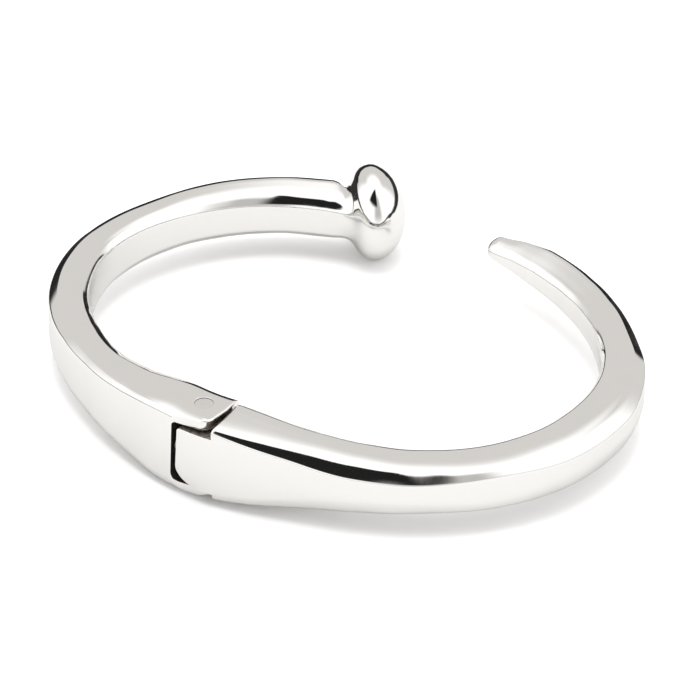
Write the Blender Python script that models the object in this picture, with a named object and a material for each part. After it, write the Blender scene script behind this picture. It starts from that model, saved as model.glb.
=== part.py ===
"""Hinged open bangle in the form of a bent nail.

Two silver arms meet at a fork and tongue on an upright pin. One arm ends in a round nail head,
the other in a point, and the wrist goes through the gap between them. A small plunger and coil
spring, hidden behind the tongue, press the point arm shut.
X runs along the long axis of the oval, the hinge is at -Y, the gap at +Y, and Z is up.
"""
from math import atan2, cos, pi, radians, sin

import bmesh
import bpy
from mathutils import Matrix, Vector

MM = 0.001

# Ring: the middle of the bar lies on an oval, given below by radii about the ring centre.
RING_CENTRE = Vector((-0.35, 0.55))
MID_HEIGHT = 5.85
SECTION_STEP = 3.0

# Each station of a bar: angle about the ring centre, radius to the bar's middle, width across
# the bar, height of the bar and chamfer on its four edges, in degrees and millimetres.
HEAD_ARM_STATIONS = [
    (-84, 26.7, 6.6, 10.5, 0.5),
    (-92, 26.9, 6.7, 10.5, 0.5),
    (-100, 27.2, 6.6, 10.5, 0.5),
    (-108, 27.6, 6.3, 10.5, 0.5),
    (-118, 28.4, 5.4, 9.3, 0.6),
    (-132, 30.0, 4.6, 8.1, 0.8),
    (-150, 32.4, 4.8, 7.3, 1.1),
    (-165, 33.8, 4.8, 6.8, 1.3),
    (-180, 33.9, 4.7, 6.3, 1.3),
    (-195, 32.5, 4.6, 6.0, 1.3),
    (-210, 30.6, 5.1, 6.0, 1.3),
    (-225, 28.1, 5.2, 6.0, 1.2),
    (-238.5, 26.1, 5.2, 6.0, 1.1),
]
POINT_ARM_STATIONS = [
    (-106, 27.5, 6.4, 10.4, 0.5),
    (-96, 27.0, 6.7, 10.2, 0.5),
    (-84, 26.7, 6.5, 9.3, 0.6),
    (-72, 26.9, 6.0, 7.9, 1.0),
    (-60, 27.9, 6.1, 6.6, 1.2),
    (-45, 29.9, 6.1, 5.6, 0.8),
    (-30, 32.0, 5.9, 5.6, 0.8),
    (-15, 33.6, 6.0, 5.8, 1.4),
    (0, 34.0, 6.0, 5.9, 1.9),
    (15, 32.7, 5.3, 5.5, 1.6),
    (30, 30.3, 4.4, 5.2, 0.9),
    (45, 28.0, 4.0, 4.7, 0.8),
    (60, 26.4, 3.7, 3.9, 0.9),
    (68, 25.6, 3.2, 3.3, 0.9),
    (74.5, 25.0, 2.8, 2.8, 0.9),
]
TIP_LENGTH = 1.6
TIP_RINGS = 5

# Nail head: a domed disc on a flared neck, a little askew on the end of the head arm.
HEAD_RADIUS = 5.85
HEAD_SIDES = 48
HEAD_TURN = radians(17)
HEAD_SHIFT = Vector((0.25, -0.35))
NECK_PROFILE = [(-1.6, 1.8), (-0.5, 2.6), (0.3, 3.1), (0.7, 3.7), (1.1, 4.4), (1.6, 5.0), (2.2, 5.5)]
RIM_PROFILE = [(2.8, HEAD_RADIUS - 0.15), (3.4, HEAD_RADIUS), (4.0, HEAD_RADIUS - 0.1)]
DOME_PROFILE = [(4.6, 5.4), (5.3, 5.0), (5.9, 4.4), (6.4, 3.7), (6.8, 2.9), (7.1, 1.9), (7.25, 0.8)]

# Hinge: the pin stands at this place from the ring centre.
PIN_PLACE = Vector((-3.8, -26.5))
PIN_RADIUS = 1.1
EAR_BORE_RADIUS = 1.12
TONGUE_BORE_RADIUS = 1.18
PIN_SIDES = 32
PIN_TOP = 5.2
PIN_BOTTOM = -5.15
EAR_REACH = 2.85
EAR_FLANK = 3.2
# Plan outline of the ears' outer flank, the round at its end, and the lean of the inner end.
FLANK_OUTLINE = [(-2.5, -3.5), (-1.9, -3.27)]
EAR_ROUND_CENTRE = Vector((1.0, -1.7))
EAR_ROUND_RADIUS = 1.5
EAR_ROUND_STEPS = 12
EAR_STRAIGHT_START = 0.2
INNER_END_LEAN = 0.5
SHOULDER_REACH = 3.1
SLOT_BACK = -2.6
SLOT_LEAN = 0.3
HEEL_BACK = -1.9
SLOT_TOP = 4.0
SLOT_BOTTOM = -4.25
SLOT_TOP_CORNER = 0.4
SLOT_BOTTOM_CORNER = 1.1
TONGUE_TOP_GAP = 0.45
TONGUE_BOTTOM_GAP = 0.1
HEEL_TOP_CORNER = 0.5
HEEL_BOTTOM_CORNER = 2.3
HEEL_STRETCH = 1.7
CUT_REACH = 9.0

# Closing plunger and its spring, in a blind bore behind the tongue.
BORE_TILT = radians(-14)
BORE_MOUTH = Vector((-2.5, -1.6))
BORE_RADIUS = 0.94
BORE_DEPTH = 6.4
BORE_OVERRUN = 1.5
PLUNGER_RADIUS = 0.85
PLUNGER_STEM_RADIUS = 0.35
PLUNGER_CAP_LENGTH = 1.1
PLUNGER_PROUD = 0.55
PLUNGER_STEM_LENGTH = 3.0
# The plunger's round nose: distance back from its tip, and radius.
NOSE_PROFILE = [(0.45, 0.85), (0.15, 0.65), (0.03, 0.38), (0.0, 0.15)]
SPRING_RADIUS = 0.62
SPRING_WIRE_RADIUS = 0.12
SPRING_TURNS = 7
SPRING_POINTS_PER_TURN = 12
END_GAP = 0.2
BORE_SIDES = 24


def clear_scene():
    for item in list(bpy.data.objects):
        bpy.data.objects.remove(item, do_unlink=True)


def new_collection(name, parent):
    group = bpy.data.collections.new(name)
    parent.children.link(group)
    return group


def silver(name, colour, roughness):
    material = bpy.data.materials.new(name)
    material.use_nodes = True
    shader = material.node_tree.nodes["Principled BSDF"]
    shader.inputs["Base Color"].default_value = (*colour, 1.0)
    shader.inputs["Metallic"].default_value = 1.0
    shader.inputs["Roughness"].default_value = roughness
    return material


def add_object(name, form, group, material=None):
    """Makes a named object from a bmesh given in millimetres."""
    bmesh.ops.recalc_face_normals(form, faces=form.faces)
    bmesh.ops.scale(form, vec=(MM, MM, MM), verts=form.verts)
    mesh = bpy.data.meshes.new(name)
    form.to_mesh(mesh)
    form.free()
    if material:
        mesh.materials.append(material)
        mesh.shade_smooth()
        mesh.set_sharp_from_angle(angle=radians(35))
    item = bpy.data.objects.new(name, mesh)
    group.objects.link(item)
    return item


def add_cutter(name, form, group):
    cutter = add_object(name, form, group)
    cutter.hide_render = True
    cutter.display_type = "WIRE"
    return cutter


def cut(item, cutter, operation="DIFFERENCE"):
    modifier = item.modifiers.new(cutter.name, "BOOLEAN")
    modifier.operation = operation
    modifier.solver = "EXACT"
    modifier.object = cutter


def station_at(stations, angle):
    """Smooth values between stations, by a Catmull-Rom curve through them."""
    rising = sorted(stations)
    last = len(rising) - 1
    i = max(k for k in range(last) if rising[k][0] <= angle or k == 0)
    rows = [rising[max(i - 1, 0)], rising[i], rising[i + 1], rising[min(i + 2, last)]]
    t = (angle - rows[1][0]) / (rows[2][0] - rows[1][0])
    values = []
    for a, b, c, d in zip(*(row[1:] for row in rows)):
        bend = t * (2 * a - 5 * b + 4 * c - d + t * (3 * (b - c) + d - a))
        values.append(b + 0.5 * t * (c - a + bend))
    return values


def bar_middle(stations, angle):
    radius = station_at(stations, angle)[0]
    turn = radians(angle)
    return RING_CENTRE + radius * Vector((cos(turn), sin(turn)))


def bar_direction(stations, angle):
    """Unit vector along the bar, towards larger angles."""
    low = min(row[0] for row in stations)
    high = max(row[0] for row in stations)
    before = bar_middle(stations, max(angle - 0.5, low))
    after = bar_middle(stations, min(angle + 0.5, high))
    return (after - before).normalized()


def corner_points(half_width, half_height, chamfer):
    """Section outline with three points at each corner: (outwards, up) pairs, anticlockwise."""
    soft = 0.3 * chamfer
    corner = [(chamfer, 0), (soft, soft), (0, chamfer)]
    points = []
    for side, up in ((1, 1), (-1, 1), (-1, -1), (1, -1)):
        steps = corner if side * up < 0 else corner[::-1]
        for a, b in steps:
            points.append((side * (half_width - a), up * (half_height - b)))
    return points


def bar_section(stations, angle, size=1.0, forward=0.0):
    """Corner points of the bar at an angle; size and forward shape a rounded end."""
    radius, width, height, chamfer = station_at(stations, angle)
    middle = bar_middle(stations, angle)
    along = bar_direction(stations, angle)
    outwards = Vector((along.y, -along.x))
    section = []
    for out, up in corner_points(width / 2, height / 2, chamfer):
        place = middle + outwards * out * size + along * forward
        section.append(Vector((place.x, place.y, MID_HEIGHT + up * size)))
    return section


def loft(sections):
    form = bmesh.new()
    rings = [[form.verts.new(point) for point in section] for section in sections]
    count = len(rings[0])
    for here, there in zip(rings, rings[1:]):
        for k in range(count):
            form.faces.new((here[k], here[(k + 1) % count], there[(k + 1) % count], there[k]))
    form.faces.new(rings[0][::-1])
    form.faces.new(rings[-1])
    return form


def angles_between(first, last):
    steps = round(abs(last - first) / SECTION_STEP)
    return [first + (last - first) * k / steps for k in range(steps + 1)]


def extruded(outline, low, high, place):
    """Upright prism: outline gives (x, y) points, place turns (x, y, level) into the frame."""
    form = bmesh.new()
    base = [form.verts.new(place(x, y, low)) for x, y in outline]
    top = [form.verts.new(place(x, y, high)) for x, y in outline]
    form.faces.new(base)
    form.faces.new(top)
    for k in range(len(outline)):
        n = (k + 1) % len(outline)
        form.faces.new((base[k], base[n], top[n], top[k]))
    return form


def in_plan(x, y, level):
    """Plan outline about the pin, level above the middle of the bar."""
    centre = RING_CENTRE + PIN_PLACE
    return Vector((centre.x + x, centre.y + y, MID_HEIGHT + level))


def in_side_view(x, z, level):
    """Side outline about the pin, level across the bar."""
    return in_plan(x, level, z)


def arc(centre_x, centre_y, radius, first, last, steps, stretch=1.0):
    """Points of an arc between two angles in degrees; stretch widens it along x."""
    turns = [radians(first + (last - first) * k / steps) for k in range(steps + 1)]
    return [(centre_x + stretch * radius * cos(t), centre_y + radius * sin(t)) for t in turns]


def round_bar(radius, low, high, sides):
    """Upright cylinder on the pin's axis, its ends given as heights about the middle."""
    form = bmesh.new()
    centre = in_plan(0, 0, (low + high) / 2)
    bmesh.ops.create_cone(form, cap_ends=True, segments=sides, radius1=radius, radius2=radius,
                          depth=high - low, matrix=Matrix.Translation(centre))
    return form


def turned(profile, sides, frame):
    """Solid of revolution from (distance along, radius) pairs about the frame's X axis."""
    form = bmesh.new()
    rings = []
    for along, radius in profile:
        turns = [2 * pi * k / sides for k in range(sides)]
        ring = [Vector((along, radius * cos(t), radius * sin(t))) for t in turns]
        rings.append([form.verts.new(frame @ point) for point in ring])
    for here, there in zip(rings, rings[1:]):
        for k in range(sides):
            n = (k + 1) % sides
            form.faces.new((here[k], here[n], there[n], there[k]))
    form.faces.new(rings[0][::-1])
    form.faces.new(rings[-1])
    return form


def bore_frame():
    """X along the plunger's bore towards the tongue, origin at the bore's mouth."""
    mouth = in_plan(BORE_MOUTH.x, BORE_MOUTH.y, 0)
    return Matrix.Translation(mouth) @ Matrix.Rotation(BORE_TILT, 4, "Z")


def nail_head(group):
    """Domed head on its flared neck, about the end of the head arm."""
    last = min(row[0] for row in HEAD_ARM_STATIONS)
    end = bar_middle(HEAD_ARM_STATIONS, last) + HEAD_SHIFT
    along = -bar_direction(HEAD_ARM_STATIONS, last)
    heading = Matrix.Rotation(atan2(along.y, along.x) + HEAD_TURN, 4, "Z")
    frame = Matrix.Translation((end.x, end.y, MID_HEIGHT)) @ heading
    form = turned(NECK_PROFILE + RIM_PROFILE + DOME_PROFILE, HEAD_SIDES, frame)
    return add_cutter("head_form", form, group)


def ear_nose():
    """Rounded corner of an ear in plan, from the outer flank to the straight end."""
    corner = arc(*EAR_ROUND_CENTRE, EAR_ROUND_RADIUS, -90, 0, EAR_ROUND_STEPS)
    return corner + [(EAR_REACH, EAR_STRAIGHT_START)]


def head_arm(parts, tools, material):
    ends = [row[0] for row in HEAD_ARM_STATIONS]
    sections = [bar_section(HEAD_ARM_STATIONS, a) for a in angles_between(max(ends), min(ends))]
    arm = add_object("head_arm", loft(sections), parts, material)
    cut(arm, nail_head(tools), "UNION")

    # The ears' outer corners are round, so the other arm's shoulder can swing past them.
    flank = [(CUT_REACH, -CUT_REACH), (FLANK_OUTLINE[0][0], -CUT_REACH)] + FLANK_OUTLINE
    end = [(EAR_REACH, EAR_FLANK), (EAR_REACH - INNER_END_LEAN, CUT_REACH), (CUT_REACH, CUT_REACH)]
    form = extruded(flank + ear_nose() + end, -CUT_REACH, CUT_REACH, in_plan)
    cut(arm, add_cutter("ear_end_cutter", form, tools))

    corner = SLOT_TOP_CORNER
    slot = arc(SLOT_BACK + SLOT_LEAN + corner, SLOT_TOP - corner, corner, 90, 180, 4)
    corner = SLOT_BOTTOM_CORNER
    slot += arc(SLOT_BACK + corner, SLOT_BOTTOM + corner, corner, 180, 270, 6)
    slot += [(CUT_REACH, SLOT_BOTTOM), (CUT_REACH, SLOT_TOP)]
    cut(arm, add_cutter("slot_cutter", extruded(slot, -CUT_REACH, CUT_REACH, in_side_view), tools))

    hole = round_bar(EAR_BORE_RADIUS, -CUT_REACH, CUT_REACH, PIN_SIDES)
    cut(arm, add_cutter("ear_bore_cutter", hole, tools))

    bore = [(-BORE_DEPTH, BORE_RADIUS), (BORE_OVERRUN, BORE_RADIUS)]
    cut(arm, add_cutter("plunger_bore_cutter", turned(bore, BORE_SIDES, bore_frame()), tools))


def point_arm(parts, tools, material):
    ends = [row[0] for row in POINT_ARM_STATIONS]
    sections = [bar_section(POINT_ARM_STATIONS, a) for a in angles_between(min(ends), max(ends))]
    for k in range(1, TIP_RINGS + 1):
        turn = 0.5 * pi * k / (TIP_RINGS + 0.4)
        sections.append(bar_section(POINT_ARM_STATIONS, max(ends), cos(turn), TIP_LENGTH * sin(turn)))
    arm = add_object("point_arm", loft(sections), parts, material)

    top = SLOT_TOP - TONGUE_TOP_GAP
    bottom = SLOT_BOTTOM + TONGUE_BOTTOM_GAP
    around = [(SHOULDER_REACH, CUT_REACH), (-CUT_REACH, CUT_REACH), (-CUT_REACH, -CUT_REACH)]
    around += [(SHOULDER_REACH, -CUT_REACH), (SHOULDER_REACH, bottom)]
    corner = HEEL_BOTTOM_CORNER
    middle = HEEL_BACK + HEEL_STRETCH * corner
    around += arc(middle, bottom + corner, corner, 270, 180, 8, HEEL_STRETCH)
    corner = HEEL_TOP_CORNER
    around += arc(HEEL_BACK + SLOT_LEAN + corner, top - corner, corner, 180, 90, 4)
    around += [(SHOULDER_REACH, top)]
    cut(arm, add_cutter("tongue_cutter", extruded(around, -CUT_REACH, CUT_REACH, in_side_view), tools))

    hole = round_bar(TONGUE_BORE_RADIUS, -CUT_REACH, CUT_REACH, PIN_SIDES)
    cut(arm, add_cutter("tongue_bore_cutter", hole, tools))


def hinge_pin(parts, material):
    add_object("hinge_pin", round_bar(PIN_RADIUS, PIN_BOTTOM, PIN_TOP, PIN_SIDES), parts, material)


def closing_plunger(parts, material):
    """Round-nosed cap with a thin stem that guides the spring."""
    nose = PLUNGER_PROUD
    cap = nose - PLUNGER_CAP_LENGTH
    profile = [(cap - PLUNGER_STEM_LENGTH, PLUNGER_STEM_RADIUS), (cap, PLUNGER_STEM_RADIUS)]
    profile += [(cap, PLUNGER_RADIUS)]
    profile += [(nose - back, radius) for back, radius in NOSE_PROFILE]
    add_object("closing_plunger", turned(profile, BORE_SIDES, bore_frame()), parts, material)


def closing_spring(parts, material):
    """Coil between the floor of the bore and the plunger's cap, one wire in a helix."""
    frame = bore_frame()
    start = -BORE_DEPTH + END_GAP + SPRING_WIRE_RADIUS
    stop = PLUNGER_PROUD - PLUNGER_CAP_LENGTH - END_GAP - SPRING_WIRE_RADIUS
    count = SPRING_TURNS * SPRING_POINTS_PER_TURN
    curve = bpy.data.curves.new("closing_spring", "CURVE")
    curve.dimensions = "3D"
    curve.bevel_depth = SPRING_WIRE_RADIUS * MM
    curve.bevel_resolution = 2
    curve.use_fill_caps = True
    spline = curve.splines.new("POLY")
    spline.points.add(count)
    for k in range(count + 1):
        turn = 2 * pi * k / SPRING_POINTS_PER_TURN
        along = start + (stop - start) * k / count
        place = frame @ Vector((along, SPRING_RADIUS * cos(turn), SPRING_RADIUS * sin(turn)))
        spline.points[k].co = (*(place * MM), 1.0)
    item = bpy.data.objects.new("closing_spring", curve)
    curve.materials.append(material)
    parts.objects.link(item)


def main():
    clear_scene()
    parts = new_collection("nail_bangle", bpy.context.scene.collection)
    tools = new_collection("cutters", bpy.context.scene.collection)
    polished = silver("polished_silver", (0.93, 0.92, 0.90), 0.08)
    steel = silver("spring_steel", (0.55, 0.55, 0.54), 0.25)
    head_arm(parts, tools, polished)
    point_arm(parts, tools, polished)
    hinge_pin(parts, silver("pin_silver", (0.85, 0.84, 0.82), 0.15))
    closing_plunger(parts, steel)
    closing_spring(parts, steel)


main()
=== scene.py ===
"""Looks of the bent-nail bangle: polished silver arms, head, point and hinge in a pale studio."""
from math import atan2, cos, hypot, pi, radians, sin

import bmesh
import bpy
from mathutils import Matrix, Vector


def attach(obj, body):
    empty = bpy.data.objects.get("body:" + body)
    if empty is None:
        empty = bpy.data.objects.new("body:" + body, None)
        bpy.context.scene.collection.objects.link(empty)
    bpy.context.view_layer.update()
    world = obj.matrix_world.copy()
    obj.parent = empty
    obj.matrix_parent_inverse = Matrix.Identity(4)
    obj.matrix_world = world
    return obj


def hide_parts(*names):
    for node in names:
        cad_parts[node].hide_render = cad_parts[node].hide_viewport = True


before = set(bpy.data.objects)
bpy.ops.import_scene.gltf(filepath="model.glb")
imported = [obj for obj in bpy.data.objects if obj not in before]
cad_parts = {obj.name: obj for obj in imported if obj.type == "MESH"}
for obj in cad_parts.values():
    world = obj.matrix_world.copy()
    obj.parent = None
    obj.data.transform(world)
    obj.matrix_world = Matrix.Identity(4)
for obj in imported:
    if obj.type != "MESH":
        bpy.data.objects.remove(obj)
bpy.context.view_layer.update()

MM = 0.001

# ---------------------------------------------------------------- the bangle's sizes, in millimetres
RING_CENTRE = Vector((-0.35, 0.55))
MID_HEIGHT = 5.85
SECTION_STEP = 1.25     # degrees between two sections of a bar
DIRECTION_STEP = 0.5    # degrees to either side over which a bar's direction is taken

# Each station of a bar: angle about the ring centre, radius to the bar's middle, width, height,
# width and depth of the outer chamfer, width and depth of the inner chamfer, how far the top face
# rolls over towards its outer and its inner edge, and how far its outer edge stands above level.
HEAD_ARM_STATIONS = [
    (-84, 26.7, 6.6, 10.5, 0.6, 0.5, 0.6, 0.35, 1.2, 0.5, 0.0),
    (-92, 26.9, 6.7, 10.5, 0.6, 0.5, 0.95, 0.31, 1.2, 0.4, 0.0),
    (-100, 27.2, 6.6, 10.5, 0.7, 0.55, 1.0, 0.34, 1.2, 0.4, 0.0),
    (-108, 27.6, 6.3, 10.5, 0.8, 0.65, 1.05, 0.38, 1.2, 0.4, 0.0),
    (-118, 28.4, 5.4, 9.3, 0.85, 0.75, 1.1, 0.43, 1.0, 0.4, 0.0),
    (-132, 30.0, 4.6, 8.1, 0.9, 0.8, 1.15, 0.53, 0.6, 0.4, 0.0),
    (-143, 31.4, 4.7, 7.6, 1.05, 0.85, 1.1, 0.62, 0.4, 0.4, 0.0),
    (-150, 32.4, 4.8, 7.3, 1.2, 0.9, 1.0, 0.68, 0.3, 0.4, 0.0),
    (-160, 33.4, 4.8, 6.9, 1.3, 0.9, 0.8, 0.82, 0.3, 0.5, 0.0),
    (-170, 33.9, 4.6, 6.6, 1.2, 0.7, 0.6, 0.85, 0.5, 0.6, 0.0),
    (-180, 33.7, 4.3, 6.3, 1.1, 0.55, 0.7, 1.0, 0.5, 0.7, 0.0),
    (-195, 32.3, 4.2, 6.0, 1.15, 0.48, 0.8, 1.1, 0.4, 0.9, 0.0),
    (-210, 30.4, 4.7, 6.0, 1.1, 0.42, 1.0, 1.1, 0.4, 1.8, 0.1),
    (-225, 27.9, 4.8, 6.0, 1.0, 0.36, 1.1, 1.1, 0.4, 2.2, 0.2),
    (-238.5, 25.9, 4.8, 6.0, 0.85, 0.3, 1.1, 1.1, 0.4, 2.2, 0.25),
]
POINT_ARM_STATIONS = [
    (-106, 27.5, 6.4, 10.4, 0.5, 0.5, 1.0, 0.5, 2.4, 1.0, 0.0),
    (-96, 27.0, 6.7, 10.2, 0.5, 0.5, 1.0, 0.5, 2.4, 1.0, 0.0),
    (-84, 26.7, 6.5, 9.3, 0.85, 0.8, 1.0, 0.5, 2.5, 1.0, 0.0),
    (-72, 26.9, 6.0, 7.9, 1.25, 1.12, 1.0, 0.5, 2.7, 1.0, 0.0),
    (-60, 27.9, 6.1, 6.6, 1.45, 1.4, 1.0, 0.5, 2.8, 1.0, 0.0),
    (-45, 29.9, 6.1, 5.6, 1.25, 1.25, 1.0, 0.5, 2.6, 1.0, 0.0),
    (-30, 32.0, 5.9, 5.6, 0.9, 0.9, 0.9, 0.6, 2.2, 1.0, 0.0),
    (-15, 33.6, 6.0, 5.8, 1.2, 1.5, 0.8, 0.75, 1.5, 0.9, 0.0),
    (0, 33.9, 5.9, 5.9, 1.5, 1.6, 0.65, 0.9, 0.8, 0.8, 0.0),
    (8, 33.4, 5.5, 5.7, 1.4, 1.2, 0.6, 0.9, 0.5, 0.8, 0.0),
    (15, 32.6, 5.1, 5.5, 1.35, 0.86, 0.6, 0.9, 0.4, 0.8, 0.0),
    (22, 31.5, 4.7, 5.35, 1.2, 0.94, 0.85, 0.9, 0.4, 0.8, 0.0),
    (29, 30.35, 4.35, 5.2, 1.1, 0.72, 0.9, 0.9, 0.4, 0.9, 0.05),
    (36, 29.25, 4.15, 5.0, 1.0, 0.56, 0.85, 0.95, 0.4, 1.0, 0.1),
    (45, 27.9, 3.9, 4.75, 0.8, 0.38, 0.8, 1.0, 0.4, 1.2, 0.2),
    (60, 26.3, 3.6, 4.2, 0.6, 0.23, 0.9, 0.9, 0.4, 1.4, 0.25),
    (68, 25.5, 3.1, 3.6, 0.5, 0.3, 0.9, 0.9, 0.5, 1.0, 0.2),
    (74.5, 25.0, 2.8, 2.9, 0.6, 0.5, 0.9, 0.9, 0.5, 0.7, 0.1),
]
# The hand-forged bars waver a little: size, waves around the ring and start of each wave.
RADIUS_WAVES = [(0.03, 11, 0.4), (0.012, 23, 2.1)]
CHAMFER_WAVES = [(0.035, 17, 1.3), (0.025, 31, 0.2)]
CRISP = 0.3             # rounding where a chamfer meets a wall
POINT_ARM_CRISP = 0.14  # the same on the outside of the point arm
CRISP_SHARE = 0.2       # the most that this rounding takes of the outer chamfer's length
ROLL_SHARE = 0.5        # share of a chamfer's length that bends over with a broad roll of the top face
FULL_OUT_ROLL = 0.9     # the widest rolls that still bend more of the chamfers, outside and inside
FULL_IN_ROLL = 1.0
FOOT_SHARE = 1.25       # depth of the facet at the outer wall's foot, as a share of the outer chamfer's
UNDERSIDE_SHARE = 0.4   # how far that facet reaches under the bar, as a share of the outer chamfer's
FACE_POINTS = [5, 1] * 4
BEND_POINTS = 7
TIP_LENGTH = 1.6
TIP_RINGS = 8
TIP_FLAT = 0.4          # flat left on the point, in rings

EDGE_ROUNDING = 0.13    # on every edge that a tool has cut
EDGE_STEPS = 3
EDGE_ANGLE = radians(38)
WELD_DISTANCE = 0.02
SMOOTH_ANGLE = radians(32)

HEAD_TURN = radians(17)
HEAD_SHIFT = Vector((0.25, -0.35))
HEAD_START = 3.6        # degrees before the bar's end where its sections stop and the head's rings begin
# Distance along the head's axis, radius, and share of the way from the square bar to the round.
HEAD_PROFILE = [
    (-1.6, 2.6, 0.0), (-0.9, 2.6, 0.12), (-0.4, 2.7, 0.35), (0.0, 2.9, 0.6), (0.4, 3.2, 0.85),
    (0.8, 3.7, 1.0), (1.2, 4.45, 1.0), (1.6, 5.0, 1.0), (2.1, 5.45, 1.0), (2.7, 5.72, 1.0),
    (3.3, 5.84, 1.0), (3.8, 5.8, 1.0), (4.3, 5.62, 1.0), (4.8, 5.33, 1.0), (5.3, 4.96, 1.0),
    (5.8, 4.46, 1.0), (6.3, 3.8, 1.0), (6.75, 2.98, 1.0), (7.05, 2.15, 1.0), (7.22, 1.3, 1.0),
    (7.3, 0.45, 1.0),
]

# The hinge's sizes are taken from the pin's centre, with heights from the middle of the bar.
PIN_CENTRE = RING_CENTRE + Vector((-3.8, -26.5))
PIN_HOLE_SIDES = 64
EAR_BORE_RADIUS = 1.12
TONGUE_BORE_RADIUS = 1.18
EAR_REACH = 2.85
EAR_FLANK = 3.2
EAR_TOP = 5.25
EAR_EDGE_ROUNDING = 0.24
EAR_EDGE_STEPS = 8
EAR_MIDDLE = Vector((-1.0, 0))
FLANK_OUTLINE = [(-2.5, -3.5), (-1.9, -3.27)]
EAR_ROUND_CENTRE = Vector((1.0, -1.7))
EAR_ROUND_RADIUS = 1.5
EAR_ROUND_STEPS = 24
EAR_ROLL_STEPS = 10     # steps of that round over which the rolled edge grows to its full size
EAR_STRAIGHT_START = 0.2
INNER_END_LEAN = 0.5
SHOULDER_REACH = 3.1
SHOULDER_TOP = 4.95
SHOULDER_ROUNDING = 0.35
SHOULDER_CORNER = 1.3
SHOULDER_TOOL_WIDTH = 1.0
SHOULDER_TOOL_OVERLAP = 0.1
SLOT_BACK = -2.6
SLOT_LEAN = 0.3
HEEL_BACK = -1.84
SLOT_TOP = 4.0
SLOT_BOTTOM = -4.25
SLOT_TOP_CORNER = 0.4
SLOT_BOTTOM_CORNER = 1.1
TONGUE_TOP_GAP = 0.45
TONGUE_BOTTOM_GAP = 0.1
HEEL_TOP_CORNER = 0.5
HEEL_BOTTOM_CORNER = 2.3
HEEL_STRETCH = 1.7
CUT_REACH = 9.0         # how far the cutting tools reach, which is past the bar
BORE_TILT = radians(-14)
BORE_MOUTH = Vector((-2.5, -1.6))
BORE_RADIUS = 0.94
BORE_DEPTH = 6.4
BORE_OVERRUN = 1.5
BORE_SIDES = 48


# ---------------------------------------------------------------- finishes, and the painted shade of the recesses
MARKS_SCALE = 3400.0
MARKS_DETAIL = 4.0
MARKS_RANGE = (0.52, 0.78)
MARKS_TILT = (0.2, 0.1)
# Turn and stretch of the two sets of streaks that the buffing marks are made of.
MARKS_LAYERS = ((0.5, (0.25, 2.6, 1.4)), (2.1, (2.4, 0.3, 1.8)))
BROAD_RIPPLE_SCALE = 110.0
SMALL_RIPPLE_SCALE = 420.0
SMALL_RIPPLE_SHARE = 0.22
PATCH_RANGE = (0.35, 0.7)


class Nodes:
    """Short words for wiring a node tree."""

    def __init__(self, tree):
        self.tree = tree

    def add(self, kind, **values):
        node = self.tree.nodes.new(kind)
        for name, value in values.items():
            setattr(node, name, value)
        return node

    def wire(self, source, target):
        if hasattr(source, "is_output"):
            self.tree.links.new(source, target)
        else:
            target.default_value = source

    def math(self, operation, *values):
        node = self.add("ShaderNodeMath", operation=operation)
        for value, target in zip(values, node.inputs):
            self.wire(value, target)
        return node.outputs[0]

    def ramp(self, value, low, high):
        """0 below low, 1 above high, smooth between; with low above high, 1 below and 0 above."""
        node = self.add("ShaderNodeMapRange", interpolation_type="SMOOTHSTEP")
        self.wire(value, node.inputs["Value"])
        if low < high:
            span = (low, high, 0.0, 1.0)
        else:
            span = (high, low, 1.0, 0.0)
        for name, number in zip(("From Min", "From Max", "To Min", "To Max"), span):
            node.inputs[name].default_value = number
        return node.outputs["Result"]

    def mix(self, share, first, second):
        node = self.add("ShaderNodeMix", data_type="RGBA")
        for value, name in ((share, "Factor_Float"), (first, "A_Color"), (second, "B_Color")):
            target = next(socket for socket in node.inputs if socket.identifier == name)
            self.wire(value, target)
        return next(socket for socket in node.outputs if socket.identifier == "Result_Color")

    def noise(self, place, scale, detail):
        node = self.add("ShaderNodeTexNoise")
        self.wire(place, node.inputs["Vector"])
        self.wire(scale, node.inputs["Scale"])
        node.inputs["Detail"].default_value = detail
        return node.outputs["Fac"]


def effect(name, inputs, outputs):
    """An empty node group with plain number inputs, given as (name, default), and its outputs."""
    group = bpy.data.node_groups.new(name, "ShaderNodeTree")
    for title, value in inputs:
        socket = group.interface.new_socket(title, in_out="INPUT", socket_type="NodeSocketFloat")
        socket.default_value = value
    for title in outputs:
        group.interface.new_socket(title, in_out="OUTPUT", socket_type="NodeSocketFloat")
    nodes = Nodes(group)
    return nodes, nodes.add("NodeGroupInput").outputs, nodes.add("NodeGroupOutput").inputs


def buffing_marks():
    """Fine hairlines left by the buffing wheel: streaks that run along the surface and wander."""
    inputs = [("Fineness", 1.0), ("Strength", 1.0)]
    nodes, given, result = effect("buffing_marks", inputs, ["Marks", "Height"])
    place = nodes.add("ShaderNodeTexCoord").outputs["Object"]
    streaks = []
    for turn, squeeze in MARKS_LAYERS:
        mapping = nodes.add("ShaderNodeMapping")
        nodes.wire(place, mapping.inputs["Vector"])
        mapping.inputs["Rotation"].default_value = (*MARKS_TILT, turn)
        mapping.inputs["Scale"].default_value = squeeze
        scale = nodes.math("MULTIPLY", given["Fineness"], MARKS_SCALE)
        streaks.append(nodes.noise(mapping.outputs[0], scale, MARKS_DETAIL))
    marks = nodes.ramp(nodes.math("MAXIMUM", *streaks), *MARKS_RANGE)
    marks = nodes.math("MULTIPLY", marks, given["Strength"])
    nodes.wire(marks, result["Marks"])
    nodes.wire(nodes.math("MULTIPLY", marks, -1.0), result["Height"])
    return nodes.tree


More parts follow.
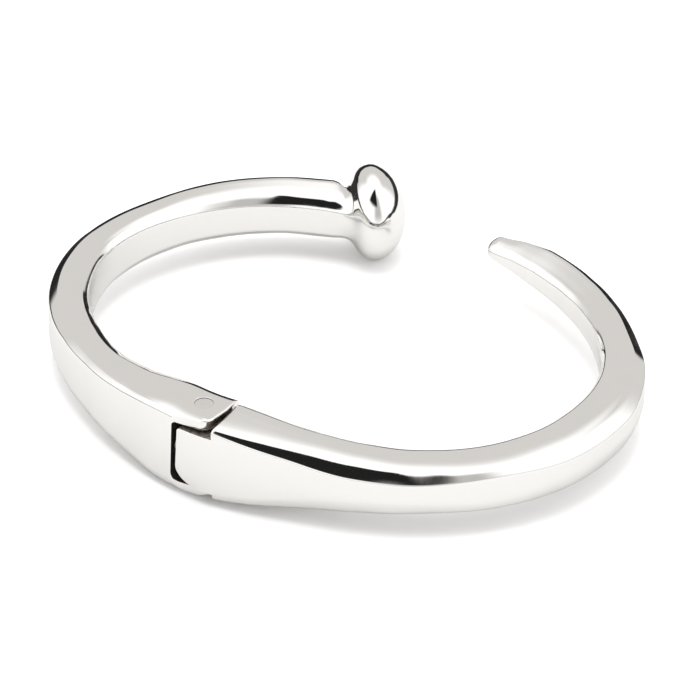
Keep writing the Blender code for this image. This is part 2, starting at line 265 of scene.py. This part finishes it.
def hand_worked_ripple():
    """Broad, shallow unevenness of metal that was forged and filed by hand."""
    inputs = [("Size", 1.0), ("Depth", 1.0)]
    nodes, given, result = effect("hand_worked_ripple", inputs, ["Height", "Patches"])
    place = nodes.add("ShaderNodeTexCoord").outputs["Object"]
    broad = nodes.noise(place, nodes.math("MULTIPLY", given["Size"], BROAD_RIPPLE_SCALE), 1.0)
    small = nodes.noise(place, nodes.math("MULTIPLY", given["Size"], SMALL_RIPPLE_SCALE), 2.0)
    height = nodes.math("ADD", broad, nodes.math("MULTIPLY", small, SMALL_RIPPLE_SHARE))
    nodes.wire(nodes.math("MULTIPLY", height, given["Depth"]), result["Height"])
    nodes.wire(nodes.ramp(small, *PATCH_RANGE), result["Patches"])
    return nodes.tree


def metal_finish(name, look):
    """Metal with buffing marks in its roughness and colour, and ripple and marks in its surface."""
    material = bpy.data.materials.new(name)
    material.use_nodes = True
    shader = material.node_tree.nodes["Principled BSDF"]
    nodes = Nodes(material.node_tree)
    marks = nodes.add("ShaderNodeGroup", node_tree=marks_effect)
    marks.inputs["Fineness"].default_value = look["fineness"]
    marks.inputs["Strength"].default_value = 1.0
    ripple = nodes.add("ShaderNodeGroup", node_tree=ripple_effect)
    ripple.inputs["Size"].default_value = look["ripple_size"]
    ripple.inputs["Depth"].default_value = 1.0
    shade = nodes.math("MULTIPLY", ripple.outputs["Patches"], look["toning"])
    shade = nodes.math("ADD", shade, nodes.math("MULTIPLY", marks.outputs["Marks"], look["mark_shade"]))
    nodes.wire(nodes.mix(shade, look["colour"], look["toned_colour"]), shader.inputs["Base Color"])
    rough = nodes.math("MULTIPLY", marks.outputs["Marks"], look["mark_roughness"])
    patches = nodes.math("MULTIPLY", ripple.outputs["Patches"], look["patch_roughness"])
    rough = nodes.math("ADD", rough, patches)
    nodes.wire(nodes.math("ADD", rough, look["roughness"]), shader.inputs["Roughness"])
    shader.inputs["Metallic"].default_value = look["metallic"]
    height = nodes.math("MULTIPLY", marks.outputs["Height"], look["mark_depth"])
    rippled = nodes.math("MULTIPLY", ripple.outputs["Height"], look["ripple_depth"])
    height = nodes.math("ADD", height, rippled)
    bump = nodes.add("ShaderNodeBump")
    bump.inputs["Strength"].default_value = 1.0
    bump.inputs["Distance"].default_value = MM
    nodes.wire(height, bump.inputs["Height"])
    nodes.wire(bump.outputs["Normal"], shader.inputs["Normal"])
    return material


# Depths are in millimetres; toning and mark_shade are shares of the toned colour.
POLISHED = dict(
    colour=(0.93, 0.92, 0.90, 1.0), toned_colour=(0.84, 0.80, 0.75, 1.0), toning=0.05, mark_shade=0.12,
    roughness=0.045, mark_roughness=0.07, patch_roughness=0.015, metallic=1.0,
    fineness=1.0, ripple_size=1.0, mark_depth=0.00012, ripple_depth=0.006,
)
SAWN = dict(
    colour=(0.34, 0.30, 0.26, 1.0), toned_colour=(0.10, 0.085, 0.07, 1.0), toning=0.9, mark_shade=0.4,
    roughness=0.42, mark_roughness=0.25, patch_roughness=0.2, metallic=0.85,
    fineness=0.8, ripple_size=6.0, mark_depth=0.004, ripple_depth=0.09,
)
# Painted shade: a near-black colour that stands in for the shade deep in the slot, the bore and the pin
# holes, left on the faces that those tools cut.
PAINTED_SHADE = dict(
    colour=(0.06, 0.052, 0.046, 1.0), toned_colour=(0.02, 0.018, 0.016, 1.0), toning=0.8, mark_shade=0.3,
    roughness=0.5, mark_roughness=0.2, patch_roughness=0.2, metallic=0.6,
    fineness=0.8, ripple_size=5.0, mark_depth=0.004, ripple_depth=0.05,
)
PIN = dict(
    colour=(0.90, 0.89, 0.87, 1.0), toned_colour=(0.70, 0.66, 0.61, 1.0), toning=0.15, mark_shade=0.3,
    roughness=0.08, mark_roughness=0.14, patch_roughness=0.03, metallic=1.0,
    fineness=1.4, ripple_size=3.0, mark_depth=0.0004, ripple_depth=0.004,
)
STEEL = dict(
    colour=(0.55, 0.55, 0.54, 1.0), toned_colour=(0.30, 0.28, 0.26, 1.0), toning=0.5, mark_shade=0.4,
    roughness=0.28, mark_roughness=0.2, patch_roughness=0.12, metallic=1.0,
    fineness=1.6, ripple_size=5.0, mark_depth=0.001, ripple_depth=0.01,
)

marks_effect = buffing_marks()
ripple_effect = hand_worked_ripple()
silver = metal_finish("polished_silver_finish", POLISHED)
sawn_silver = metal_finish("sawn_silver_finish", SAWN)
# The painted shade of the slot, bore and pin holes.
painted_shade_metal = metal_finish("slot_bore_pin_hole_painted_shade", PAINTED_SHADE)
pin_silver = metal_finish("pin_silver_finish", PIN)
spring_steel = metal_finish("spring_steel_finish", STEEL)


def dress(item, material):
    item.data.materials.clear()
    item.data.materials.append(material)


# ---------------------------------------------------------------- shapes
def station_at(stations, angle):
    """Smooth values between stations, by a Catmull-Rom curve through them."""
    rising = sorted(stations)
    last = len(rising) - 1
    i = max(k for k in range(last) if rising[k][0] <= angle or k == 0)
    rows = [rising[max(i - 1, 0)], rising[i], rising[i + 1], rising[min(i + 2, last)]]
    t = (angle - rows[1][0]) / (rows[2][0] - rows[1][0])
    values = []
    for a, b, c, d in zip(*(row[1:] for row in rows)):
        bend = t * (2 * a - 5 * b + 4 * c - d + t * (3 * (b - c) + d - a))
        values.append(b + 0.5 * t * (c - a + bend))
    return values


def waver(waves, angle):
    return sum(size * sin(count * radians(angle) + start) for size, count, start in waves)


def bar_middle(stations, angle):
    radius = station_at(stations, angle)[0] + waver(RADIUS_WAVES, angle)
    turn = radians(angle)
    return RING_CENTRE + radius * Vector((cos(turn), sin(turn)))


def bar_direction(stations, angle):
    """Unit vector along the bar, towards larger angles."""
    low = min(row[0] for row in stations)
    high = max(row[0] for row in stations)
    before = bar_middle(stations, max(angle - DIRECTION_STEP, low))
    after = bar_middle(stations, min(angle + DIRECTION_STEP, high))
    return (after - before).normalized()


def towards(here, there, distance):
    """The point this far from here towards there, and never past the middle."""
    way = there - here
    return here + way.normalized() * min(distance, 0.48 * way.length)


def rounded_outline(corners):
    """Closed outline through corners given as (x, y, rounding before, rounding after)."""
    places = [Vector(corner[:2]) for corner in corners]
    outline = []
    for k, (_, _, rounding_before, rounding_after) in enumerate(corners):
        n = (k + 1) % len(corners)
        here, there = places[k], places[n]
        start = towards(here, places[k - 1], rounding_before)
        stop = towards(here, there, rounding_after)
        for i in range(BEND_POINTS):
            t = i / (BEND_POINTS - 1)
            outline.append((1 - t) ** 2 * start + 2 * t * (1 - t) * here + t * t * stop)
        entry = towards(there, here, corners[n][2])
        steps = FACE_POINTS[k] + 1
        outline += [stop + (entry - stop) * i / steps for i in range(1, steps)]
    return outline


def bar_outline(values, swell, crisp):
    """Section of the bar as (outwards, up) points, starting at the outer wall's foot."""
    _, width, height, out_width, out_depth, in_width, in_depth, roll_out, roll_in, lean = values
    out_width, in_width = out_width * (1 + swell), in_width * (1 - swell)
    w, h = width / 2, height / 2
    out_slope = ROLL_SHARE * min(roll_out, FULL_OUT_ROLL) * hypot(out_width, out_depth)
    in_slope = ROLL_SHARE * min(roll_in, FULL_IN_ROLL) * hypot(in_width, in_depth)
    out_crisp = min(crisp, CRISP_SHARE * hypot(out_width, out_depth))
    foot = FOOT_SHARE * out_depth
    corners = [
        (w, -h + foot, 0.6 * foot, 0.4), (w, h + lean - out_depth, crisp, out_crisp),
        (w - out_width, h + lean, out_slope, roll_out), (-w + in_width, h - lean, roll_in, in_slope),
        (-w, h - lean - in_depth, CRISP, CRISP), (-w, -h + in_depth, CRISP, CRISP),
        (-w + in_width, -h, 0.3 * in_width, 0.4), (w - UNDERSIDE_SHARE * out_width, -h, 0.3, 0.4 * foot),
    ]
    return rounded_outline(corners)


def bar_section(stations, angle, size=1.0, forward=0.0):
    values = station_at(stations, angle)
    middle = bar_middle(stations, angle)
    along = bar_direction(stations, angle)
    outwards = Vector((along.y, -along.x))
    section = []
    crisp = POINT_ARM_CRISP if stations is POINT_ARM_STATIONS else CRISP
    for out, up in bar_outline(values, waver(CHAMFER_WAVES, angle), crisp):
        place = middle + outwards * out * size + along * forward
        section.append(Vector((place.x, place.y, MID_HEIGHT + up * size)))
    return section


def angles_between(first, last):
    steps = round(abs(last - first) / SECTION_STEP)
    return [first + (last - first) * k / steps for k in range(steps + 1)]


def loft(sections):
    form = bmesh.new()
    rings = [[form.verts.new(point) for point in section] for section in sections]
    count = len(rings[0])
    for here, there in zip(rings, rings[1:]):
        for k in range(count):
            form.faces.new((here[k], here[(k + 1) % count], there[(k + 1) % count], there[k]))
    form.faces.new(rings[0][::-1])
    form.faces.new(rings[-1])
    return form


def extruded(outline, low, high, place):
    form = bmesh.new()
    base = [form.verts.new(place(x, y, low)) for x, y in outline]
    top = [form.verts.new(place(x, y, high)) for x, y in outline]
    form.faces.new(base)
    form.faces.new(top)
    for k in range(len(outline)):
        n = (k + 1) % len(outline)
        form.faces.new((base[k], base[n], top[n], top[k]))
    return form


def in_plan(x, y, level):
    return Vector((PIN_CENTRE.x + x, PIN_CENTRE.y + y, MID_HEIGHT + level))


def in_side_view(x, z, level):
    return in_plan(x, level, z)


def arc(centre_x, centre_y, radius, first, last, steps, stretch=1.0):
    """Points of an arc between two angles in degrees; stretch widens it along x."""
    turns = [radians(first + (last - first) * k / steps) for k in range(steps + 1)]
    return [(centre_x + stretch * radius * cos(t), centre_y + radius * sin(t)) for t in turns]


def new_object(name, form):
    bmesh.ops.recalc_face_normals(form, faces=form.faces)
    bmesh.ops.scale(form, vec=(MM, MM, MM), verts=form.verts)
    mesh = bpy.data.meshes.new(name)
    form.to_mesh(mesh)
    form.free()
    item = bpy.data.objects.new(name, mesh)
    bpy.context.scene.collection.objects.link(item)
    return item


def cut(item, tools):
    """Cuts the tools out of the item, softens the new edges and keeps the result."""
    for tool in tools:
        modifier = item.modifiers.new(tool.name, "BOOLEAN")
        modifier.operation = "DIFFERENCE"
        modifier.solver = "EXACT"
        modifier.material_mode = "TRANSFER"
        modifier.object = tool
    weld = item.modifiers.new("weld", "WELD")
    weld.merge_threshold = WELD_DISTANCE * MM
    edge = item.modifiers.new("edge", "BEVEL")
    edge.width = EDGE_ROUNDING * MM
    edge.segments = EDGE_STEPS
    edge.angle_limit = EDGE_ANGLE
    item_now = item.evaluated_get(bpy.context.evaluated_depsgraph_get())
    finished = bpy.data.meshes.new_from_object(item_now)
    item.modifiers.clear()
    item.data = finished
    for tool in tools:
        bpy.data.objects.remove(tool)


def smooth(item):
    item.data.shade_smooth()
    item.data.set_sharp_from_angle(angle=SMOOTH_ANGLE)


def cutting_tool(name, form, finish):
    """A tool that leaves its own finish, or a painted shade, on the faces that it cuts."""
    tool = new_object(name, form)
    tool.data.materials.append(finish)
    return tool


def drill(name, radius, low, high, sides, axis):
    """A round cutting tool between two heights along its axis, which leaves painted shade on the faces
    that it cuts.
    """
    form = bmesh.new()
    middle = axis @ Matrix.Translation((0, 0, (low + high) / 2))
    bmesh.ops.create_cone(form, cap_ends=True, segments=sides, radius1=radius, radius2=radius,
                          depth=high - low, matrix=middle)
    return cutting_tool(name, form, painted_shade_metal)


def pin_hole_tool(radius):
    axis = Matrix.Translation(in_plan(0, 0, 0))
    return drill("pin_hole_tool", radius, -CUT_REACH, CUT_REACH, PIN_HOLE_SIDES, axis)


# ---------------------------------------------------------------- the two arms
def head_rings(first_section):
    """Rings from the square end of the bar over the flared neck and the dome."""
    last = min(row[0] for row in HEAD_ARM_STATIONS)
    bar_end = bar_middle(HEAD_ARM_STATIONS, last)
    along = -bar_direction(HEAD_ARM_STATIONS, last)
    heading = atan2(along.y, along.x)
    bar_axis = Matrix.Translation((*bar_end, MID_HEIGHT)) @ Matrix.Rotation(heading, 4, "Z")
    head_axis = Matrix.Translation((*(bar_end + HEAD_SHIFT), MID_HEIGHT))
    head_axis = head_axis @ Matrix.Rotation(heading + HEAD_TURN, 4, "Z")
    flat = [bar_axis.inverted() @ point for point in first_section]
    rings = []
    for distance, radius, share in HEAD_PROFILE:
        ring = []
        for point in flat:
            turn = atan2(point.z, point.y)
            square = bar_axis @ Vector((distance, point.y, point.z))
            circle = head_axis @ Vector((distance, radius * cos(turn), radius * sin(turn)))
            ring.append(square.lerp(circle, share))
        rings.append(ring)
    return rings


def quarter_steps(rounding, steps):
    """(height below the edge, step back from the face) pairs round a quarter of an edge."""
    turns = [0.5 * pi * k / steps for k in range(steps + 1)]
    return [(rounding * (1 - sin(t)), rounding * (1 - cos(t))) for t in turns]


def ear_end_tool():
    """Cuts the ears' ends to their plan outline, with rolled edges on top and underneath."""
    flank = [(CUT_REACH, -CUT_REACH), (FLANK_OUTLINE[0][0], -CUT_REACH)] + FLANK_OUTLINE
    corner = arc(*EAR_ROUND_CENTRE, EAR_ROUND_RADIUS, -90, 0, EAR_ROUND_STEPS)
    end = [(EAR_REACH, EAR_STRAIGHT_START), (EAR_REACH, EAR_FLANK)]
    end += [(EAR_REACH - INNER_END_LEAN, CUT_REACH), (CUT_REACH, CUT_REACH)]
    outline = flank + corner + end
    shares = [0.0] * len(flank)
    shares += [min(1.0, k / EAR_ROLL_STEPS) for k in range(len(corner))]
    shares += [1.0] * len(end)
    roll = quarter_steps(EAR_EDGE_ROUNDING, EAR_EDGE_STEPS)
    levels = [(CUT_REACH, EAR_EDGE_ROUNDING)]
    levels += [(EAR_TOP - below, back) for below, back in reversed(roll)]
    levels += [(-level, back) for level, back in reversed(levels)]
    sections = []
    for level, back in levels:
        section = []
        for point, share in zip(map(Vector, outline), shares):
            point -= (point - EAR_MIDDLE).normalized() * back * share
            section.append(in_plan(point.x, point.y, level))
        sections.append(section)
    return cutting_tool("ear_end_tool", loft(sections), silver)


def make_head_arm():
    ends = [row[0] for row in HEAD_ARM_STATIONS]
    angles = angles_between(max(ends), min(ends) + HEAD_START)
    sections = [bar_section(HEAD_ARM_STATIONS, angle) for angle in angles]
    rings = head_rings(bar_section(HEAD_ARM_STATIONS, min(ends)))
    arm = new_object("head_arm_silver", loft(sections + rings))
    dress(arm, silver)
    corner = SLOT_TOP_CORNER
    slot = arc(SLOT_BACK + SLOT_LEAN + corner, SLOT_TOP - corner, corner, 90, 180, 6)
    corner = SLOT_BOTTOM_CORNER
    slot += arc(SLOT_BACK + corner, SLOT_BOTTOM + corner, corner, 180, 270, 10)
    slot += [(CUT_REACH, SLOT_BOTTOM), (CUT_REACH, SLOT_TOP)]
    slot_form = extruded(slot, -CUT_REACH, CUT_REACH, in_side_view)
    # The slot's cut faces get the painted shade of the recess.
    slot_tool = cutting_tool("slot_tool", slot_form, painted_shade_metal)
    hole = pin_hole_tool(EAR_BORE_RADIUS)
    bore_axis = Matrix.Translation(in_plan(*BORE_MOUTH, 0)) @ Matrix.Rotation(BORE_TILT, 4, "Z")
    bore_axis = bore_axis @ Matrix.Rotation(pi / 2, 4, "Y")
    bore = drill("bore_tool", BORE_RADIUS, -BORE_DEPTH, BORE_OVERRUN, BORE_SIDES, bore_axis)
    cut(arm, [ear_end_tool(), slot_tool, hole, bore])
    smooth(arm)
    return arm


def tongue_tool():
    """Leaves the tongue between the ears and squares off the shoulder behind it."""
    top = SLOT_TOP - TONGUE_TOP_GAP
    bottom = SLOT_BOTTOM + TONGUE_BOTTOM_GAP
    roll = quarter_steps(SHOULDER_ROUNDING, 6)
    around = [(SHOULDER_REACH + back, SHOULDER_TOP - below) for below, back in roll]
    around += [(SHOULDER_REACH + SHOULDER_ROUNDING, CUT_REACH)]
    around += [(-CUT_REACH, CUT_REACH), (-CUT_REACH, -CUT_REACH)]
    around += [(SHOULDER_REACH, -CUT_REACH), (SHOULDER_REACH, bottom)]
    corner = HEEL_BOTTOM_CORNER
    middle = HEEL_BACK + HEEL_STRETCH * corner
    around += arc(middle, bottom + corner, corner, 270, 180, 20, HEEL_STRETCH)
    corner = HEEL_TOP_CORNER
    around += arc(HEEL_BACK + SLOT_LEAN + corner, top - corner, corner, 180, 90, 6)
    around += [(SHOULDER_REACH, top)]
    form = extruded(around, -CUT_REACH, CUT_REACH, in_side_view)
    return cutting_tool("tongue_tool", form, sawn_silver)


def shoulder_corner_tool():
    """Rounds the shoulder's inner corner in plan, above the tongue."""
    start = EAR_FLANK - SHOULDER_CORNER
    ahead = SHOULDER_REACH + SHOULDER_CORNER
    behind = SHOULDER_REACH - SHOULDER_TOOL_WIDTH
    outline = arc(ahead, start, SHOULDER_CORNER, 180, 100, 12)
    outline += [(ahead, CUT_REACH), (behind, CUT_REACH), (behind, start)]
    form = extruded(outline, SLOT_TOP - SHOULDER_TOOL_OVERLAP, CUT_REACH, in_plan)
    return cutting_tool("shoulder_corner_tool", form, silver)


def make_point_arm():
    ends = [row[0] for row in POINT_ARM_STATIONS]
    sections = [bar_section(POINT_ARM_STATIONS, a) for a in angles_between(min(ends), max(ends))]
    for k in range(1, TIP_RINGS + 1):
        turn = 0.5 * pi * k / (TIP_RINGS + TIP_FLAT)
        sections.append(bar_section(POINT_ARM_STATIONS, max(ends), cos(turn), TIP_LENGTH * sin(turn)))
    arm = new_object("point_arm_silver", loft(sections))
    dress(arm, silver)
    cut(arm, [tongue_tool(), shoulder_corner_tool(), pin_hole_tool(TONGUE_BORE_RADIUS)])
    smooth(arm)
    return arm


# ---------------------------------------------------------------- the arms in place
head_arm = make_head_arm()
point_arm = make_point_arm()
for item, node, body in ((head_arm, "head_arm", "head_side"), (point_arm, "point_arm", "point_side")):
    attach(item, body)
    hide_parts(node)
dress(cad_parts["hinge_pin"], pin_silver)
dress(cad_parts["closing_plunger"], spring_steel)
dress(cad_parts["closing_spring"], spring_steel)


# ---------------------------------------------------------------- floor, light and camera
def grey(level, warmth=0.0):
    return (level, level * (1 - warmth), level * (1 - 2 * warmth), 1.0)


# The white sheet under the bangle, as its mirror faces see it, in metres: round, and dark beyond.
SHEET_CENTRE = (0.062, -0.073, 0)
SHEET_RADIUS = 0.165
SHEET_EDGE = 0.002
FLOOR_RADIUS = 3000     # in millimetres, like the shapes
FLOOR_TONE = grey(0.9)
MIRRORED_SHEET_TONE = grey(0.60, 0.006)
MIRRORED_GAP_TONE = grey(0.02)

# Soft boxes and dark gaps of the studio, in drawing order: bearing of the middle, height of the
# middle, half width, half height, soft edge (all in degrees) and brightness.
STUDIO = [
    (210, 20, 62, 27, 10, grey(0.70, 0.02)),
    (42, 40, 24, 30, 12, grey(0.55, 0.01)),
    (30, 0, 181, 4, 1.5, grey(0.05)),
    (220, -2, 41, 9.5, 2, grey(0.02)),
    (6, 68, 32, 22, 6, grey(0.015)),
]
STUDIO_TONE = grey(1.15)
EXTRA_FILL = 0.58       # how much stronger the studio lights dull surfaces, such as the floor

# The lamp and the camera, in metres, watts and degrees; lens and sensor are in millimetres.
KEY_SIZE = 0.4
KEY_POWER = 3.0
KEY_DISTANCE = 0.9
KEY_BEARING, KEY_TILT = 0, 87

SENSOR_WIDTH = 36
LENS = 8.6 * SENSOR_WIDTH
CAMERA_TARGET = Vector((1.15, -2.05, 5.85)) * MM
CAMERA_DISTANCE = 0.7
CAMERA_BEARING, CAMERA_TILT = 30, 35


def make_floor():
    form = bmesh.new()
    bmesh.ops.create_circle(form, cap_ends=True, radius=FLOOR_RADIUS, segments=64)
    floor = new_object("studio_floor", form)
    material = bpy.data.materials.new("studio_floor_finish")
    material.use_nodes = True
    shader = material.node_tree.nodes["Principled BSDF"]
    nodes = Nodes(material.node_tree)
    place = nodes.add("ShaderNodeNewGeometry").outputs["Position"]
    distance = nodes.add("ShaderNodeVectorMath", operation="DISTANCE")
    nodes.wire(place, distance.inputs[0])
    distance.inputs[1].default_value = SHEET_CENTRE
    edge = (SHEET_RADIUS - SHEET_EDGE, SHEET_RADIUS + SHEET_EDGE)
    beyond = nodes.ramp(distance.outputs["Value"], *edge)
    mirrored = nodes.add("ShaderNodeLightPath").outputs["Is Glossy Ray"]
    tone = nodes.mix(mirrored, FLOOR_TONE, MIRRORED_SHEET_TONE)
    tone = nodes.mix(nodes.math("MULTIPLY", beyond, mirrored), tone, MIRRORED_GAP_TONE)
    nodes.wire(tone, shader.inputs["Base Color"])
    shader.inputs["Roughness"].default_value = 0.9
    shader.inputs["Specular IOR Level"].default_value = 0.0
    dress(floor, material)


def make_surround():
    world = bpy.data.worlds.new("studio")
    world.use_nodes = True
    nodes = Nodes(world.node_tree)
    way = nodes.add("ShaderNodeSeparateXYZ")
    nodes.wire(nodes.add("ShaderNodeTexCoord").outputs["Generated"], way.inputs[0])
    x, y, z = way.outputs
    height = nodes.math("MULTIPLY", nodes.math("ARCSINE", z), 180 / pi)
    bearing = nodes.math("MULTIPLY", nodes.math("ARCTAN2", x, nodes.math("MULTIPLY", y, -1.0)), 180 / pi)
    colour = STUDIO_TONE
    for middle, level, half_width, half_height, edge, tone in STUDIO:
        aside = nodes.math("WRAP", nodes.math("SUBTRACT", bearing, middle), 180.0, -180.0)
        above = nodes.math("SUBTRACT", height, level)
        across = nodes.ramp(nodes.math("ABSOLUTE", aside), half_width + edge, half_width - edge)
        upright = nodes.ramp(nodes.math("ABSOLUTE", above), half_height + edge, half_height - edge)
        colour = nodes.mix(nodes.math("MULTIPLY", across, upright), colour, tone)
    dull = nodes.add("ShaderNodeLightPath").outputs["Is Diffuse Ray"]
    strength = nodes.math("ADD", 1.0, nodes.math("MULTIPLY", dull, EXTRA_FILL))
    background = world.node_tree.nodes["Background"]
    nodes.wire(colour, background.inputs["Color"])
    nodes.wire(strength, background.inputs["Strength"])
    bpy.context.scene.world = world
    bpy.context.scene.view_settings.view_transform = "Standard"


def point_at(item, target, bearing, tilt, distance):
    """Places a lamp or camera at a bearing and tilt from its target, and turns it to face that."""
    turn, rise = radians(bearing), radians(tilt)
    back = Vector((sin(turn) * cos(rise), -cos(turn) * cos(rise), sin(rise)))
    item.location = target + back * distance
    item.rotation_euler = back.to_track_quat("Z", "Y").to_euler()
    bpy.context.scene.collection.objects.link(item)


def make_key():
    """Soft lamp overhead, which draws the soft shadow on the floor."""
    lamp = bpy.data.lights.new("soft_key", "AREA")
    lamp.size = KEY_SIZE
    lamp.energy = KEY_POWER
    item = bpy.data.objects.new("soft_key", lamp)
    item.visible_glossy = False
    point_at(item, Vector((0, 0, 0)), KEY_BEARING, KEY_TILT, KEY_DISTANCE)


def make_camera():
    camera = bpy.data.cameras.new("camera")
    camera.sensor_width = SENSOR_WIDTH
    camera.lens = LENS
    item = bpy.data.objects.new("camera", camera)
    point_at(item, CAMERA_TARGET, CAMERA_BEARING, CAMERA_TILT, CAMERA_DISTANCE)
    bpy.context.scene.camera = item


make_floor()
make_surround()
make_key()
make_camera()
